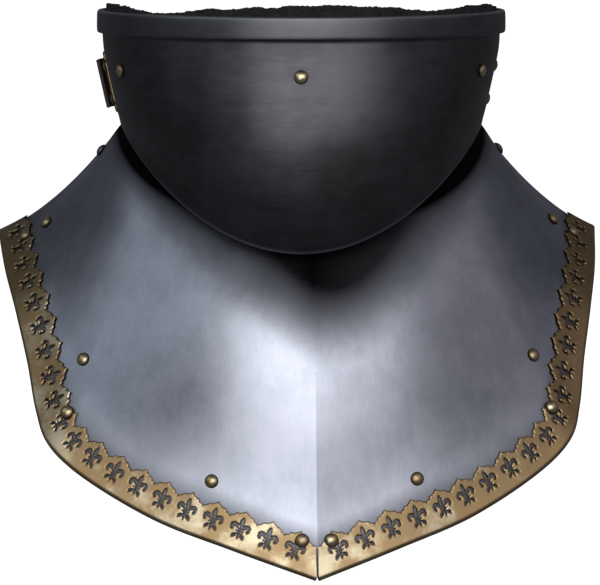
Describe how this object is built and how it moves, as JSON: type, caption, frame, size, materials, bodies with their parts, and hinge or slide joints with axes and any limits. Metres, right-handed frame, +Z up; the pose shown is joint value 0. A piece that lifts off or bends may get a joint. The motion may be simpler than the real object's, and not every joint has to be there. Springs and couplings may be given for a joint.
{
  "type": "steel gorget",
  "caption": "Neck and upper chest armour: a flared steel collar riveted over a pointed bib plate with a pierced brass border, closed by a strap round the back.",
  "frame": {"origin": "on the neck's vertical axis, level with the bottom of the collar at its sides, where it sits on the bib's shoulders", "axes": "+Z up, -Y forward out of the wearer's chest, +X to the wearer's left"},
  "size_m": [0.3658, 0.2587, 0.3209],
  "materials": {
    "bowl_steel": "dark satin",
    "bib_steel": "satin",
    "border_brass": "worn satin",
    "rivet_brass": "worn satin",
    "lining_suede": "napped",
    "strap_leather": "matt"
  },
  "bodies": {
    "root": {"bevor_bowl": "bowl_steel", "collar_lining": "lining_suede", "neck_strap": "strap_leather", "buckle_chape": "border_brass", "buckle_frame": "border_brass", "buckle_prong": "border_brass", "rivet_lining_left": "rivet_brass", "rivet_lining_front": "rivet_brass", "rivet_lining_right": "rivet_brass", "rivet_strap_upper": "rivet_brass", "rivet_strap_lower": "rivet_brass", "rivet_chape_upper": "rivet_brass", "rivet_chape_lower": "rivet_brass", "bib_plate": "bib_steel", "rivet_neck_left": "bib_steel", "rivet_shoulder_left": "rivet_brass", "rivet_side_left": "rivet_brass", "rivet_chest_left": "rivet_brass", "rivet_neck_right": "bib_steel", "rivet_shoulder_right": "rivet_brass", "rivet_side_right": "rivet_brass", "rivet_chest_right": "rivet_brass", "border_left": "border_brass", "rivet_border_tip_left": "rivet_brass", "rivet_border_side_left": "rivet_brass", "rivet_border_corner_left": "rivet_brass", "border_right": "border_brass", "rivet_border_tip_right": "rivet_brass", "rivet_border_side_right": "rivet_brass", "rivet_border_corner_right": "rivet_brass"}
  },
  "joints": []
}
